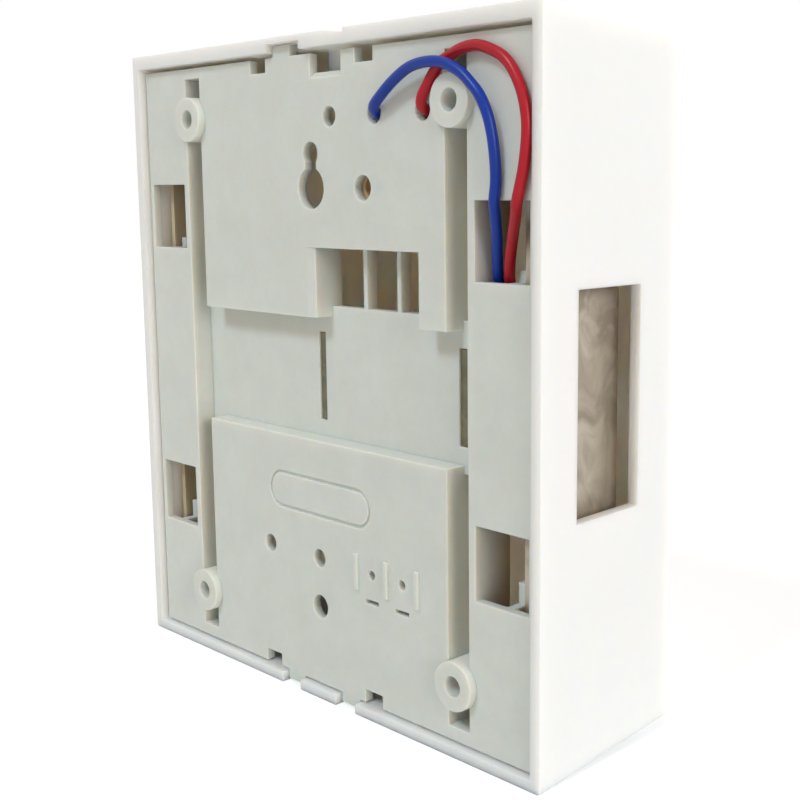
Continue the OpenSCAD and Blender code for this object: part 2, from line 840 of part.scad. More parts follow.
// A ring with a groove that the edge of the hole sits in
module grommet(z) {
  bore = peg_d / 2 + fit_gap;
  neck = tone_t / 2 + seat_gap;
  translate([tone_x, axis_y, z])
    rotate([0, 90, 0])
      rotate_extrude()
        polygon([[bore, -grommet_t / 2], [grommet_d / 2, -grommet_t / 2], [grommet_d / 2, -neck],
                 [grommet_seat_d / 2, -neck], [grommet_seat_d / 2, neck], [grommet_d / 2, neck],
                 [grommet_d / 2, grommet_t / 2], [bore, grommet_t / 2]]);
}

module low_grommets() color(rubber) {
  translate([low_out, 0, 0])
    for (s = [-1, 1])
      grommet(s * hold_share * low_len);
}

module high_grommets() color(rubber) {
  mirror([1, 0, 0])
    for (s = [-1, 1])
      grommet(s * hold_share * high_len);
}

// Solenoid

module solenoid_yoke() color(zinc) {
  leg_tip = recess_back - leg_sunk;
  difference() {
    union() {
      for (s = [-1, 1])
        block(yoke_x + s * yoke_span / 2 - yoke_t / 2, yoke_x + s * yoke_span / 2 + yoke_t / 2,
              web_front, leg_tip, -yoke_w / 2, yoke_w / 2);
      block(yoke_x - cheek_out, yoke_x + cheek_out, web_front, web_back, -yoke_w / 2, yoke_w / 2);
    }
    bar_x(yoke_x - cheek_out - cut, yoke_x + cheek_out + cut, bore_d);
  }
}

module coil_bobbin() color(nylon) {
  difference() {
    union() {
      bar_x(yoke_x - bobbin_half, yoke_x + bobbin_half, tube_d);
      for (s = [-1, 1])
        translate([yoke_x + s * (bobbin_half - flange_t / 2), axis_y, 0])
          cube([flange_t, flange_w, flange_w], center = true);
    }
    bar_x(yoke_x - bobbin_half - cut, yoke_x + bobbin_half + cut, bore_d);
    for (s = [-1, 1])
      coil_pin(s, thread_gap);
  }
}

module coil_winding() color(copper) {
  half = bobbin_half - flange_t - seat_gap;
  difference() {
    bar_x(yoke_x - half, yoke_x + half, winding_d);
    bar_x(yoke_x - half - cut, yoke_x + half + cut, tube_d + 2 * thread_gap);
  }
}

// One coil pin, standing in the flange; grow widens it to cut its seat
module coil_pin(s, grow) {
  foot = 2.5;
  half = pin_w / 2 + grow;
  y = axis_y + s * pin_pitch / 2;
  block(pin_x - half, pin_x + half, y - half, y + half, flange_w / 2 - foot - grow, pin_top);
}

module coil_pins() color(brass) {
  for (s = [-1, 1])
    coil_pin(s, 0);
}

// Plunger

module plunger_core() color(steel) {
  difference() {
    bar_x(core_right, core_left, core_d);
    bar_x(core_right - cut, core_right + stub_len + fit_gap, stub_d + 2 * thread_gap);
    bar_x(core_left - stub_len - fit_gap, core_left + cut, stub_d + 2 * thread_gap);
  }
}

// Nylon rod with a round nose, plugged into the core
module long_striker() color(nylon) {
  bar_x(core_left - stub_len, core_left + cut, stub_d);
  bar_x(core_left + thread_gap, long_tip - rod_d / 2, rod_d);
  nose(long_tip - rod_d / 2);
}

module nose(x) {
  translate([x, axis_y, 0])
    sphere(d = rod_d);
}

// Nylon plug with the collar that the return spring pushes on
module short_striker() color(nylon) {
  bar_x(core_right - cut, core_right + stub_len, stub_d);
  bar_x(collar_back, core_right - thread_gap, shank_d);
  bar_x(collar_back, collar_face, collar_d);
  intersection() {
    nose(short_tip + rod_d / 2);
    bar_x(short_tip - cut, collar_back + thread_gap, rod_d + cut);
  }
}

module return_spring() color(zinc) {
  near = spring_seat - seat_gap - spring_wire / 2;
  far = collar_face + seat_gap + spring_wire / 2;
  steps = 10;
  turns = spring_turns;
  helix = [for (i = [0 : turns * steps])
    [near + (far - near) * i / (turns * steps),
     axis_y + spring_d / 2 * cos(360 * i / steps),
     spring_d / 2 * sin(360 * i / steps)]];
  echo(spring_gap = abs(far - near) / turns - spring_wire);
  wire(helix, spring_wire, 6, [1, 0, 0]);
}

// Terminal strip

module pole(x) {
  block(x - pole_w / 2, x + pole_w / 2, pole_front + pole_w / 2, slab_front + seat_gap,
        strip_z - pole_len / 2, strip_z + pole_len / 2);
  translate([x, pole_front + pole_w / 2, strip_z - pole_len / 2])
    cylinder(d = pole_w, h = pole_len);
}

module terminal_strip() color(nylon) {
  difference() {
    union() {
      block(strip_x - slab_half, strip_x + slab_half, slab_front, slab_back,
            strip_z - pole_len / 2, strip_z + pole_len / 2);
      for (k = [-1 : 1])
        pole(strip_x + k * pole_pitch);
    }
    for (k = [-1 : 1]) {
      x = strip_x + k * pole_pitch;
      translate([x, sleeve_y, strip_z - pole_len / 2 - cut])
        cylinder(d = sleeve_d + 2 * thread_gap, h = pole_len + 2 * cut);
      for (s = [-1, 1])
        bar_y(x, strip_z + s * clamp_z, clamp_head_d + 2 * fit_gap, sleeve_y, pole_front - cut);
    }
    for (s = [-1, 1])
      bar_y(strip_x + s * pole_pitch / 2, strip_z, fixing_d + 2 * fit_gap, slab_back + cut,
            slab_front - cut);
    bar_y(strip_x, strip_z, pole_w - 2 * slab_edge, slab_back + cut, slab_front - slab_edge);
  }
}

module terminal_sleeves() color(brass) {
  for (k = [-1 : 1])
    difference() {
      translate([strip_x + k * pole_pitch, sleeve_y, strip_z - sleeve_len / 2])
        cylinder(d = sleeve_d, h = sleeve_len);
      translate([strip_x + k * pole_pitch, sleeve_y, strip_z - sleeve_len / 2 - cut])
        cylinder(d = sleeve_bore, h = sleeve_len + 2 * cut);
      for (s = [-1, 1])
        bar_y(strip_x + k * pole_pitch, strip_z + s * clamp_z, clamp_d + 2 * thread_gap,
              sleeve_y, sleeve_y - sleeve_d);
    }
}

module terminal_screws() color(zinc) {
  head_front = pole_front + clamp_sunk;
  for (k = [-1 : 1], s = [-1, 1])
    difference() {
      union() {
        bar_y(strip_x + k * pole_pitch, strip_z + s * clamp_z, clamp_head_d,
              head_front + clamp_head, head_front);
        bar_y(strip_x + k * pole_pitch, strip_z + s * clamp_z, clamp_d,
              sleeve_y - sleeve_bore / 4, head_front + clamp_head / 2);
      }
      driver_slot(strip_x + k * pole_pitch, strip_z + s * clamp_z, clamp_head_d, head_front);
    }
}

module driver_slot(x, z, d, front) {
  slot_w = 0.7;
  slot_d = 0.8;
  block(x - slot_w / 2, x + slot_w / 2, front - cut, front + slot_d, z - d, z + d);
}

module strip_screws() color(zinc) {
  head_back = slab_front - seat_gap;
  for (s = [-1, 1])
    difference() {
      union() {
        bar_y(strip_x + s * pole_pitch / 2, strip_z, fixing_head_d, head_back, head_back - fixing_head);
        bar_y(strip_x + s * pole_pitch / 2, strip_z, fixing_d, plate_front + fixing_pilot - seat_gap,
              head_back - fixing_head / 2);
      }
      driver_slot(strip_x + s * pole_pitch / 2, strip_z, fixing_head_d, head_back - fixing_head);
    }
}

// Push terminal behind the two small wire holes

module push_terminal() color(nylon) {
  back = plate_front - seat_gap;
  front = back - push_d;
  pocket_half = push_pitch / 2 - push_wall / 2;
  difference() {
    block(push_x - push_w / 2, push_x + push_w / 2, front, back, push_low, push_top);
    for (k = [-0.5, 0.5]) {
      x = push_x + k * push_pitch;
      block(x - pocket_half, x + pocket_half, front - cut, back - push_wall,
            push_low + push_wall, push_top - push_wall);
      bar_y(x, push_z, push_hole_d, back + cut, back - push_wall - cut);
      block(x - push_slot_w / 2, x + push_slot_w / 2, back - push_wall - cut, back + cut,
            push_slot_z - push_slot_h / 2, push_slot_z + push_slot_h / 2);
    }
  }
}

// Sprung brass strips, bent so that the tip presses on the wire below its hole
module push_contacts() color(brass) {
  floor_y = plate_front - seat_gap - push_wall - seat_gap;
  bend_y = floor_y - push_d / 2;
  leaf_y = floor_y - 2 * contact_t;
  top = push_top - push_wall - seat_gap;
  low = push_z - push_hole_d / 2 - contact_t;
  for (k = [-0.5, 0.5])
    translate([push_x + k * push_pitch - contact_w / 2, 0, 0])
      rotate([90, 0, 90])
        linear_extrude(height = contact_w)
          polygon([[floor_y, top], [bend_y, top], [bend_y, top - contact_t], [leaf_y, low],
                   [leaf_y, low + 2 * contact_t], [bend_y + 2 * contact_t, top - contact_t],
                   [floor_y, top - contact_t]]);
}

// Leads between the terminal strip and the coil pins

module blue_lead() color("#2b3f9a") {
  wire(blue_route, lead_d, lead_sides, [1, 0, 0]);
}

module red_lead() color("#b3232e") {
  wire(red_route, lead_d, lead_sides, [1, 0, 0]);
}

base_plate();
front_cover();
low_tone_plate();
high_tone_plate();
low_grommets();
high_grommets();
solenoid_yoke();
coil_bobbin();
coil_winding();
coil_pins();
plunger_core();
long_striker();
short_striker();
return_spring();
terminal_strip();
terminal_sleeves();
terminal_screws();
strip_screws();
push_terminal();
push_contacts();
blue_lead();
red_lead();
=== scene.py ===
import math

import bmesh
import bpy
import numpy as np
from mathutils import Matrix, Vector


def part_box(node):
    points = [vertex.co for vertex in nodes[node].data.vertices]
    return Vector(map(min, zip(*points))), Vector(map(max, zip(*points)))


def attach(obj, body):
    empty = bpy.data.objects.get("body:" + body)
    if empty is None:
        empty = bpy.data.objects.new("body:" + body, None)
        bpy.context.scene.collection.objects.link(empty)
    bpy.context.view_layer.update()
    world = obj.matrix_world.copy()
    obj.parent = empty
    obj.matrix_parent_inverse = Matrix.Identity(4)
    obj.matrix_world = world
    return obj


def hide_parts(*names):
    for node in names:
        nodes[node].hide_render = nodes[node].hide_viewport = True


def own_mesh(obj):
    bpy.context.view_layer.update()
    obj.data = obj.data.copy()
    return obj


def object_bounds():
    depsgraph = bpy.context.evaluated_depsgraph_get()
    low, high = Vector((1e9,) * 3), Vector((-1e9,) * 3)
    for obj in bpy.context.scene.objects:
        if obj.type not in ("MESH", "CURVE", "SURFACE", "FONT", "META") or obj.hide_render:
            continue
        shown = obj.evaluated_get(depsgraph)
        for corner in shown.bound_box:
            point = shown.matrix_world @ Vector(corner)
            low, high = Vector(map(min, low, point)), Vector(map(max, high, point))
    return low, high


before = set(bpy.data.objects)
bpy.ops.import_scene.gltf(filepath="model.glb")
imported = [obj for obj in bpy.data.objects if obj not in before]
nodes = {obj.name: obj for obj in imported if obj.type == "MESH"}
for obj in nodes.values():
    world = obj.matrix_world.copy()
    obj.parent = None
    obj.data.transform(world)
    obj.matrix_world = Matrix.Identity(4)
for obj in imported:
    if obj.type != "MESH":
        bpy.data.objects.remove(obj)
cadLow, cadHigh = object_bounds()
scene = bpy.context.scene
scene.view_settings.view_transform = "Standard"
mm = 0.001
pureWhite = (1, 1, 1, 1)


# The usual sRGB curve, from hex to linear light
def hexToLinear(text):
    values = [int(text[i:i + 2], 16) / 255 for i in (1, 3, 5)]
    return [v / 12.92 if v <= 0.04045 else ((v + 0.055) / 1.055) ** 2.4 for v in values] + [1.0]


def addNode(tree, kind, settings, inputs):
    node = tree.nodes.new(kind)
    for key, value in settings.items():
        setattr(node, key, value)
    for key, value in inputs.items():
        if isinstance(value, bpy.types.NodeSocket):
            tree.links.new(value, node.inputs[key])
        else:
            node.inputs[key].default_value = value
    return node.outputs


def newMaterial(name):
    material = bpy.data.materials.new(name)
    material.use_nodes = True
    material.node_tree.nodes.clear()
    return material, material.node_tree


def wear(piece, material):
    piece.data.materials.clear()
    piece.data.materials.append(material)


# Path smoothed by cubic spans through its points, each sampled evenly:
# the slope at a point is half the step from the point before it to the one after
def smoothPath(points, perSpan):
    p = np.array(points, float)
    p = np.vstack([2 * p[0] - p[1], p, 2 * p[-1] - p[-2]])
    t = (np.arange(perSpan) / perSpan)[None, :, None]
    a, b, c, d = (p[i:len(p) - 3 + i, None, :] for i in range(4))
    square = (2 * a - 5 * b + 4 * c - d) * t ** 2
    cube = (3 * b - a - 3 * c + d) * t ** 3
    line = 0.5 * (2 * b + (c - a) * t + square + cube)
    return np.vstack([line.reshape(-1, 3), p[-2]])


# Round section carried along a line: each ring is a circle across the line's own direction there
def tubePiece(name, line, radius, sides, material):
    aside = (0.0, 1.0, 0.02)  # no line runs exactly this way
    ahead = np.gradient(line, axis=0)
    ahead /= np.linalg.norm(ahead, axis=1)[:, None]
    across = np.cross(ahead, aside)
    across /= np.linalg.norm(across, axis=1)[:, None]
    upward = np.cross(ahead, across)
    turn = np.arange(sides) * 2 * math.pi / sides
    rings = line[:, None] + radius * (np.cos(turn)[None, :, None] * across[:, None]
                                      + np.sin(turn)[None, :, None] * upward[:, None])
    i, k = np.meshgrid(np.arange(len(line) - 1) * sides, np.arange(sides), indexing="ij")
    following = (k + 1) % sides
    quads = np.stack([i + k, i + following, i + sides + following, i + sides + k], -1)
    last = (len(line) - 1) * sides
    ends = [list(range(sides))[::-1], list(range(last, last + sides))]
    faces = quads.reshape(-1, 4).tolist() + ends
    mesh = bpy.data.meshes.new(name)
    mesh.from_pydata(rings.reshape(-1, 3).tolist(), [], faces)
    shape = bmesh.new()
    shape.from_mesh(mesh)
    bmesh.ops.recalc_face_normals(shape, faces=shape.faces)
    shape.to_mesh(mesh)
    shape.free()
    mesh.polygons.foreach_set("use_smooth", [True] * (len(faces) - len(ends)) + [False] * len(ends))
    piece = bpy.data.objects.new(name, mesh)
    scene.collection.objects.link(piece)
    wear(piece, material)
    return piece


# Camera at the photograph's viewing angle
cameraView = {
    "lens": 56.376,
    "sensor": 36,
    "nearest": 0.01,
    "shift": (-0.09754, -0.01215),
    "place": (-0.22147, 0.16898, 0.04137),
    "right": (-0.70914933, -0.70505097, -0.00321692),
    "down": (-0.10794372, 0.11307777, -0.98770521),
    "ahead": (0.69674628, -0.70008324, -0.15629485),
}
cameraData = bpy.data.cameras.new("viewCamera")
cameraData.sensor_fit = "HORIZONTAL"
cameraData.sensor_width = cameraView["sensor"]
cameraData.lens = cameraView["lens"]
cameraData.shift_x, cameraData.shift_y = cameraView["shift"]
cameraData.clip_start = cameraView["nearest"]
camera = bpy.data.objects.new("viewCamera", cameraData)
scene.collection.objects.link(camera)
up, back = -Vector(cameraView["down"]), -Vector(cameraView["ahead"])
axes = Matrix((cameraView["right"], up, back)).transposed()
camera.matrix_world = Matrix.Translation(cameraView["place"]) @ axes.to_4x4()
scene.camera = camera
print("camera set")

# Leads along the routes of the CAD leads
leadPvc = {"cloudMm": 4, "cloudDetail": 3, "rippleMm": 1.2, "rippleDetail": 2, "ripple": 0.15,
           "rippleDepthMm": 0.1, "roughness": 0.34, "ior": 1.53, "specular": 0.25}
leadMesh = {"perSpan": 6, "sides": 20}
leads = {
    "blueLead": {
        "node": "blue_lead", "slot": "blue_pvc", "diameter": 2.2,
        "skin": {"name": "bluePvc", "colour": "#083090", "cloud": "#0e389c"},
        "route": [
            (-18, -10.2, 50.8), (-18.1, -10, 52.6), (-18.8, -8.6, 54.8), (-20, -6.4, 56.3),
            (-21.2, -4.1, 57), (-22, -1.9, 57.7), (-23.3, -0.4, 58.7), (-26.2, 0.3, 60.5),
            (-30.6, 0.7, 63.2), (-36, 1.2, 65.4), (-41.6, 1.48, 66), (-46, 1.4, 65.4),
            (-49.9, 1.2, 63.6), (-52.8, 1, 61.2), (-54.9, 0.8, 58.8), (-56.4, 0.4, 55.4),
            (-57.2, 0, 51.6), (-57.5, -0.4, 47.4), (-57.4, -0.7, 43.4), (-56.9, -0.8, 39.6),
            (-56, -2.1, 36.4), (-54.9, -3.6, 33), (-53.5, -5.2, 28.6), (-52.5, -6.8, 23.8),
            (-52.3, -8.8, 19.8), (-52.3, -11.6, 16.6), (-51.2, -14.2, 14.2), (-48.4, -15.4, 12.6),
            (-44.8, -15.3, 12.1), (-41, -15.2, 12),
        ],
    },
    "redLead": {
        "node": "red_lead", "slot": "red_pvc", "diameter": 2.2,
        "skin": {"name": "redPvc", "colour": "#a60f1f", "cloud": "#b21a2a"},
        "route": [
            (-27.4, -10.2, 50.8), (-27.6, -10, 52.6), (-29, -9.2, 54.8), (-31.6, -7.9, 56.3),
            (-34.3, -6, 56.9), (-35.8, -4.2, 57.2), (-36.3, -2.6, 57.5), (-36.8, -1.1, 58.3),
            (-37.7, -0.5, 59.9), (-39.2, -0.6, 62), (-40.7, -0.7, 64), (-42.8, -0.8, 66),
            (-45.4, -1.1, 67.2), (-48.6, -0.8, 68.1), (-52.6, -0.7, 68.3), (-56.4, -0.7, 67.2),
            (-59.8, -0.7, 65.4), (-62.4, -0.7, 62.4), (-64.4, -0.7, 58.2), (-65.3, -0.7, 53),
            (-64.7, -0.7, 47), (-63.8, -0.7, 43.2), (-62.7, -0.8, 39.6), (-60.8, -2.4, 36.4),
            (-58.4, -4.2, 32.4), (-56.4, -5.6, 27.6), (-55.4, -7, 23.6), (-54.8, -10.4, 19.6),
            (-54.2, -14.2, 16.6), (-53, -17.8, 14.2), (-50.2, -21.2, 12.7), (-46.2, -23, 12.1),
            (-41, -23.2, 12),
        ],
    },
}


# Soft PVC drawn over the wire: smooth, a little uneven in tint, with a broad soft highlight
def pvcSkin(look):
    material, tree = newMaterial(look["name"])
    place = addNode(tree, "ShaderNodeTexCoord", {}, {})["Object"]
    cloud = addNode(tree, "ShaderNodeTexNoise", {}, {
        "Vector": place, "Scale": 1 / (leadPvc["cloudMm"] * mm), "Detail": leadPvc["cloudDetail"]})["Fac"]
    tint = addNode(tree, "ShaderNodeMix", {"data_type": "RGBA"}, {
        0: cloud, 6: hexToLinear(look["colour"]), 7: hexToLinear(look["cloud"])})[2]
    ripple = addNode(tree, "ShaderNodeTexNoise", {}, {
        "Vector": place, "Scale": 1 / (leadPvc["rippleMm"] * mm), "Detail": leadPvc["rippleDetail"]})["Fac"]
    relief = addNode(tree, "ShaderNodeBump", {}, {
        "Height": ripple, "Strength": leadPvc["ripple"], "Distance": leadPvc["rippleDepthMm"] * mm})["Normal"]
    skin = addNode(tree, "ShaderNodeBsdfPrincipled", {}, {
        "Base Color": tint, "Normal": relief, "Roughness": leadPvc["roughness"],
        "IOR": leadPvc["ior"], "Specular IOR Level": leadPvc["specular"]})["BSDF"]
    addNode(tree, "ShaderNodeOutputMaterial", {}, {"Surface": skin})
    return material


for name, lead in leads.items():
    line = smoothPath(lead["route"], leadMesh["perSpan"]) * mm
    piece = tubePiece(name, line, lead["diameter"] / 2 * mm, leadMesh["sides"], pvcSkin(lead["skin"]))
    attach(piece, "base")
    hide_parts(lead["node"])
print("leads made")

# Base plate and cover; the base's deep faces carry painted shade, a tan tint that grows between two depths
mouldings = {
    "basePlate": {
        "node": "base_plate", "body": "base", "slot": "base_abs", "edgeMm": 0.25,
        "skin": {"name": "baseAbs", "colour": "#e2e5e0", "flow": "#cdd0ca", "flowMm": 12, "grain": 0.25,
                 "roughness": 0.55, "soak": 1.0, "soakColours": (1.0, 0.68, 0.48), "soakMm": 2.5,
                 "paintedShade": "#d2c2a4", "paintedShadeMm": (-7.2, -11)},
    },
    "frontCover": {
        "node": "front_cover", "body": "cover", "slot": "cover_abs", "edgeMm": 0.3,
        "skin": {"name": "coverAbs", "colour": "#e9e9e7", "flow": "#e6e6e4", "flowMm": 25, "grain": 0.2,
                 "roughness": 0.5, "soak": 1.0, "soakColours": (1.0, 0.86, 0.7), "soakMm": 5.0},
    },
}
rounding = {"weld": 1e-6, "flatDegrees": 0.5, "sharpDegrees": 40, "segments": 2}
# The real grain is finer, and is drawn as coarse as it needs to show
mouldedFace = {"flowDetail": 7, "flowRoughness": 0.75, "grainMm": 0.5, "grainDetail": 2,
               "grainDepthMm": 0.05, "ior": 1.53}


# Injection-moulded plastic, such as ABS: matt, with the fine grain of an eroded mould,
# and light sinks into it, so thin walls glow warm
def mouldedAbs(look):
    material, tree = newMaterial(look["name"])
    place = addNode(tree, "ShaderNodeTexCoord", {}, {})["Object"]
    flow = addNode(tree, "ShaderNodeTexNoise", {}, {
        "Vector": place, "Scale": 1 / (look["flowMm"] * mm), "Detail": mouldedFace["flowDetail"],
        "Roughness": mouldedFace["flowRoughness"]})["Fac"]
    tint = addNode(tree, "ShaderNodeMix", {"data_type": "RGBA"}, {
        0: flow, 6: hexToLinear(look["colour"]), 7: hexToLinear(look["flow"])})[2]
    # Painted shade: faces lying deeper in the base are tinted towards the tan colour
    if "paintedShade" in look:
        shallow, deep = look["paintedShadeMm"]
        depth = addNode(tree, "ShaderNodeSeparateXYZ", {}, {"Vector": place})["Y"]
        paintedShadeShare = addNode(tree, "ShaderNodeMapRange", {}, {
            "Value": depth, "From Min": shallow * mm, "From Max": deep * mm})["Result"]
        tint = addNode(tree, "ShaderNodeMix", {"data_type": "RGBA"}, {
            0: paintedShadeShare, 6: tint, 7: hexToLinear(look["paintedShade"])})[2]
    grain = addNode(tree, "ShaderNodeTexNoise", {}, {
        "Vector": place, "Scale": 1 / (mouldedFace["grainMm"] * mm),
        "Detail": mouldedFace["grainDetail"]})["Fac"]
    relief = addNode(tree, "ShaderNodeBump", {}, {
        "Height": grain, "Strength": look["grain"], "Distance": mouldedFace["grainDepthMm"] * mm})["Normal"]
    skin = addNode(tree, "ShaderNodeBsdfPrincipled", {}, {
        "Base Color": tint, "Normal": relief, "Roughness": look["roughness"], "IOR": mouldedFace["ior"],
        "Subsurface Weight": look["soak"], "Subsurface Radius": look["soakColours"],
        "Subsurface Scale": look["soakMm"] * mm})["BSDF"]
    addNode(tree, "ShaderNodeOutputMaterial", {}, {"Surface": skin})
    return material


# Copy of a moulding's CAD mesh with its flat faces joined, so that a small bevel rounds every edge
def softEdged(name, node, material, radiusMm):
    mesh = nodes[node].data.copy()
    shape = bmesh.new()
    shape.from_mesh(mesh)
    bmesh.ops.remove_doubles(shape, verts=shape.verts, dist=rounding["weld"])
    bmesh.ops.dissolve_limit(shape, angle_limit=math.radians(rounding["flatDegrees"]),
                             verts=shape.verts, edges=shape.edges)
    shape.to_mesh(mesh)
    shape.free()
    piece = bpy.data.objects.new(name, mesh)
    scene.collection.objects.link(piece)
    edges = piece.modifiers.new("roundedEdges", "BEVEL")
    edges.width = radiusMm * mm
    edges.segments = rounding["segments"]
    edges.limit_method = "ANGLE"
    edges.angle_limit = math.radians(rounding["sharpDegrees"])
    wear(piece, material)
    return piece


for name, moulding in mouldings.items():
    piece = softEdged(name, moulding["node"], mouldedAbs(moulding["skin"]), moulding["edgeMm"])
    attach(piece, moulding["body"])
    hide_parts(moulding["node"])
print("mouldings made")

# patchEdge hardens the patches, and glossShift is what they take from and add to the roughness
metalFace = {"patchDetail": 6, "swirl": 1.2, "patchEdge": (0.38, 0.62), "glossEdge": (0.3, 0.7),
             "glossShift": (-0.08, 0.1)}


# Bare or plated metal: two close tints in swirling, drawn-out patches, and a gloss that varies with them
def bareMetal(look):
    material, tree = newMaterial(look["name"])
    place = addNode(tree, "ShaderNodeTexCoord", {}, {})["Object"]
    drawn = addNode(tree, "ShaderNodeMapping", {}, {"Vector": place, "Scale": look["stretch"]})["Vector"]
    patch = addNode(tree, "ShaderNodeTexNoise", {}, {
        "Vector": drawn, "Scale": 1 / (look["patchMm"] * mm), "Detail": metalFace["patchDetail"],
        "Distortion": metalFace["swirl"]})["Fac"]
    firm = addNode(tree, "ShaderNodeMapRange", {}, {
        "Value": patch, "From Min": metalFace["patchEdge"][0], "From Max": metalFace["patchEdge"][1]})["Result"]
    tint = addNode(tree, "ShaderNodeMix", {"data_type": "RGBA"}, {
        0: firm, 6: hexToLinear(look["colour"]), 7: hexToLinear(look["patch"])})[2]
    gloss = addNode(tree, "ShaderNodeMapRange", {}, {
        "Value": patch, "From Min": metalFace["glossEdge"][0], "From Max": metalFace["glossEdge"][1],
        "To Min": look["roughness"] + metalFace["glossShift"][0],
        "To Max": look["roughness"] + metalFace["glossShift"][1]})["Result"]
    skin = addNode(tree, "ShaderNodeBsdfPrincipled", {}, {
        "Base Color": tint, "Metallic": look["metallic"], "Roughness": gloss})["BSDF"]
    addNode(tree, "ShaderNodeOutputMaterial", {}, {"Surface": skin})
    return material


# Soft black rubber: dull, with a dusty bloom
def dullRubber(look):
    material, tree = newMaterial(look["name"])
    place = addNode(tree, "ShaderNodeTexCoord", {}, {})["Object"]
    bloom = addNode(tree, "ShaderNodeTexNoise", {}, {
        "Vector": place, "Scale": 1 / (look["bloomMm"] * mm), "Detail": look["bloomDetail"]})["Fac"]
    tint = addNode(tree, "ShaderNodeMix", {"data_type": "RGBA"}, {
        0: bloom, 6: hexToLinear(look["colour"]), 7: hexToLinear(look["bloom"])})[2]
    skin = addNode(tree, "ShaderNodeBsdfPrincipled", {}, {
        "Base Color": tint, "Roughness": look["roughness"], "IOR": look["ior"]})["BSDF"]
    addNode(tree, "ShaderNodeOutputMaterial", {}, {"Surface": skin})
    return material


# Enamelled copper wound in close turns: a bumped crown on each turn, and painted shade as a dark line between
# turns
def woundCopper(look):
    material, tree = newMaterial(look["name"])
    place = addNode(tree, "ShaderNodeTexCoord", {}, {})["Object"]
    turnScale = math.pi / (10 * look["wireMm"] * mm)  # the wave node repeats every pi / (10 x scale)
    turns = addNode(tree, "ShaderNodeTexWave", {"bands_direction": "X"}, {
        "Vector": place, "Scale": turnScale, "Distortion": look["waver"],
        "Detail": look["waverDetail"]})["Fac"]
    # Painted shade: the creases between turns take the dark colour
    tint = addNode(tree, "ShaderNodeMix", {"data_type": "RGBA"}, {
        0: turns, 6: hexToLinear(look["groove"]), 7: hexToLinear(look["colour"])})[2]
    relief = addNode(tree, "ShaderNodeBump", {}, {
        "Height": turns, "Strength": look["crown"], "Distance": look["crownMm"] * mm})["Normal"]
    skin = addNode(tree, "ShaderNodeBsdfPrincipled", {}, {
        "Base Color": tint, "Normal": relief, "Metallic": look["metallic"],
        "Roughness": look["roughness"]})["BSDF"]
    addNode(tree, "ShaderNodeOutputMaterial", {}, {"Surface": skin})
    return material


finishes = [
    # Steel bar with hardly any shine: its pale tan colour is partly painted light, brightening it in the dim
    # interior
    (bareMetal, ("low_tone_plate",),
     {"name": "paintedLightBarSteel", "colour": "#d0be9f", "patch": "#beac8d", "patchMm": 9,
      "stretch": (1, 1, 0.5), "roughness": 0.6, "metallic": 0.1}),
    # Rolled steel bar: a cloudy, swirling grey sheen
    (bareMetal, ("high_tone_plate",),
     {"name": "barSteel", "colour": "#b9ae9e", "patch": "#948979", "patchMm": 8,
      "stretch": (1, 1, 0.6), "roughness": 0.45, "metallic": 0.8}),
    # Bent sheet steel, dull: its dark colour is partly painted shade, so the slits that show its tips look dark
    (bareMetal, ("solenoid_yoke",),
     {"name": "paintedShadeYokeSteel", "colour": "#76725f", "patch": "#6a6653", "patchMm": 5,
      "stretch": (1, 1, 1), "roughness": 0.5, "metallic": 0.9}),
    # Turned steel: fairly bright, with bands round the core
    (bareMetal, ("plunger_core",),
     {"name": "turnedSteel", "colour": "#a09e9a", "patch": "#8d8b87", "patchMm": 3,
      "stretch": (1, 0.2, 0.2), "roughness": 0.34, "metallic": 1.0}),
    # Zinc-plated screws: pale silver
    (bareMetal, ("terminal_screws", "strip_screws"),
     {"name": "zincedScrews", "colour": "#c2c0b8", "patch": "#aaa8a0", "patchMm": 2,
      "stretch": (1, 1, 1), "roughness": 0.36, "metallic": 1.0}),
    # Bare brass: yellow, with browner patches where it has been handled
    (bareMetal, ("coil_pins", "terminal_sleeves", "push_contacts"),
     {"name": "bareBrass", "colour": "#cba757", "patch": "#b79140", "patchMm": 3,
      "stretch": (1, 1, 1), "roughness": 0.35, "metallic": 1.0}),
    # Undyed moulded nylon: creamy and slightly see-through at thin edges
    (mouldedAbs, ("coil_bobbin", "long_striker", "short_striker", "push_terminal"),
     {"name": "naturalNylon", "colour": "#e9e5d8", "flow": "#e1ddcf", "flowMm": 8, "grain": 0.1,
      "roughness": 0.45, "soak": 0.3, "soakColours": (1.0, 0.8, 0.6), "soakMm": 1.0}),
    # Pressed phenolic resin: solid tan, with no glow
    (mouldedAbs, ("terminal_strip",),
     {"name": "tanPhenolic", "colour": "#bfa57c", "flow": "#b0966c", "flowMm": 6, "grain": 0.1,
      "roughness": 0.5, "soak": 0.0, "soakColours": (1.0, 0.8, 0.6), "soakMm": 1.0}),
    (dullRubber, ("low_grommets", "high_grommets"),
     {"name": "blackRubber", "colour": "#262626", "bloom": "#353432", "bloomMm": 3, "bloomDetail": 4,
      "roughness": 0.8, "ior": 1.52}),
    # The real wire is finer, and its turns are drawn as coarse as they need to show
    (woundCopper, ("coil_winding",),
     {"name": "copperTurns", "colour": "#b96f3f", "groove": "#5e2e16", "wireMm": 0.5, "waver": 0.4,
      "waverDetail": 1, "crown": 0.6, "crownMm": 0.1, "roughness": 0.35, "metallic": 0.8}),
]
for make, pieces, look in finishes:
    material = make(look)
    for node in pieces:
        wear(nodes[node], material)
print("small pieces finished")
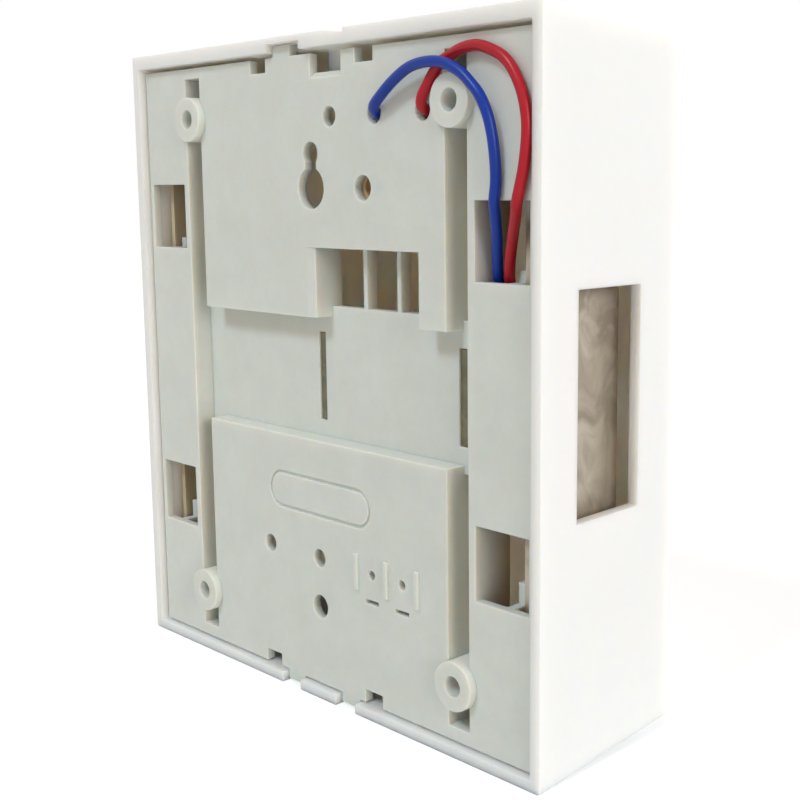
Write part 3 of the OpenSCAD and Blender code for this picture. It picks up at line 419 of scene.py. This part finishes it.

# Return spring: a helix of bright drawn wire, built at one length; the plunger squeezes the real one
springLook = {"turns": 5, "stepsPerTurn": 40, "wire": 0.5, "sides": 12,
              "name": "springSteel", "colour": "#a8a8a6", "patch": "#8e8e8c", "patchMm": 4,
              "stretch": (1, 1, 1), "roughness": 0.3, "metallic": 1.0}
springLow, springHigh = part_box("return_spring")
wireRadius = springLook["wire"] / 2 * mm
springRadius = min(springHigh.y - springLow.y, springHigh.z - springLow.z) / 2 - wireRadius
axisY = (springLow.y + springHigh.y) / 2
axisZ = (springLow.z + springHigh.z) / 2
turn = np.linspace(0, springLook["turns"] * 2 * math.pi,
                   springLook["turns"] * springLook["stepsPerTurn"] + 1)
along = np.linspace(springHigh.x - wireRadius, springLow.x + wireRadius, len(turn))
coilLine = np.column_stack([along, axisY + springRadius * np.cos(turn),
                            axisZ + springRadius * np.sin(turn)])
spring = tubePiece("returnSpring", coilLine, wireRadius, springLook["sides"], bareMetal(springLook))
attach(spring, "base")
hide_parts("return_spring")
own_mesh(spring)
print("spring made")


# 1 for rays that the eye sees, straight or by way of metal or glass, and 0 for those that only carry light
def seenRays(tree):
    rays = addNode(tree, "ShaderNodeLightPath", {}, {})
    seen = rays["Is Camera Ray"]
    for kind in ("Is Glossy Ray", "Is Transmission Ray"):
        seen = addNode(tree, "ShaderNodeMath", {"operation": "MAXIMUM"}, {0: seen, 1: rays[kind]})[0]
    return seen


# Pale floor that the camera sees nearly white, with the object's shadow on it
stage = {"size": 3.0, "floor": "#d9dcda", "shade": "#b4b9be", "floorGlow": 0.63, "sky": "#afa08f"}
reach = stage["size"]
level = cadLow.z
corners = [(x * reach, y * reach, level) for x, y in ((-1, -1), (1, -1), (1, 1), (-1, 1))]
floorMesh = bpy.data.meshes.new("floor")
floorMesh.from_pydata(corners, [], [[0, 1, 2, 3]])
floor = bpy.data.objects.new("floor", floorMesh)
scene.collection.objects.link(floor)
material, tree = newMaterial("paleFloor")
matt = addNode(tree, "ShaderNodeBsdfDiffuse", {}, {"Color": hexToLinear(stage["floor"])})["BSDF"]
shade = addNode(tree, "ShaderNodeBsdfDiffuse", {}, {"Color": hexToLinear(stage["shade"])})["BSDF"]
glow = addNode(tree, "ShaderNodeEmission", {}, {
    "Color": pureWhite, "Strength": stage["floorGlow"]})["Emission"]
nearWhite = addNode(tree, "ShaderNodeAddShader", {}, {0: shade, 1: glow})["Shader"]
surface = addNode(tree, "ShaderNodeMixShader", {}, {0: seenRays(tree), 1: matt, 2: nearWhite})["Shader"]
addNode(tree, "ShaderNodeOutputMaterial", {}, {"Surface": surface})
wear(floor, material)

# White backdrop to the eye, and a warm grey sky as far as its light goes
world = bpy.data.worlds.new("studio")
scene.world = world
world.use_nodes = True
tree = world.node_tree
tree.nodes.clear()
sky = addNode(tree, "ShaderNodeMix", {"data_type": "RGBA"}, {
    0: seenRays(tree), 6: hexToLinear(stage["sky"]), 7: pureWhite})[2]
backdrop = addNode(tree, "ShaderNodeBackground", {}, {"Color": sky, "Strength": 1.0})["Background"]
addNode(tree, "ShaderNodeOutputWorld", {}, {"Surface": backdrop})

# Broad soft lamps; spread is in degrees
lamps = {
    "sideLight": {"towards": (0.95, 0.1, -0.29), "strength": 1.6, "spread": 20, "colour": "#eef6ff"},
    "highLight": {"towards": (0, -0.66, -0.75), "strength": 1.4, "spread": 14, "colour": "#e2f3ff"},
    "fillLight": {"towards": (0.95, -0.25, -0.25), "strength": 0.8, "spread": 20, "colour": "#fff6ee"},
    "frontLight": {"towards": (-0.15, 0.97, -0.15), "strength": 2.2, "spread": 30, "colour": "#fdfbff"},
}
for name, lamp in lamps.items():
    data = bpy.data.lights.new(name, "SUN")
    data.energy = lamp["strength"]
    data.color = hexToLinear(lamp["colour"])[:3]
    data.angle = math.radians(lamp["spread"])
    light = bpy.data.objects.new(name, data)
    light.rotation_euler = Vector(lamp["towards"]).to_track_quat("-Z", "Y").to_euler()
    scene.collection.objects.link(light)
print("stage set")
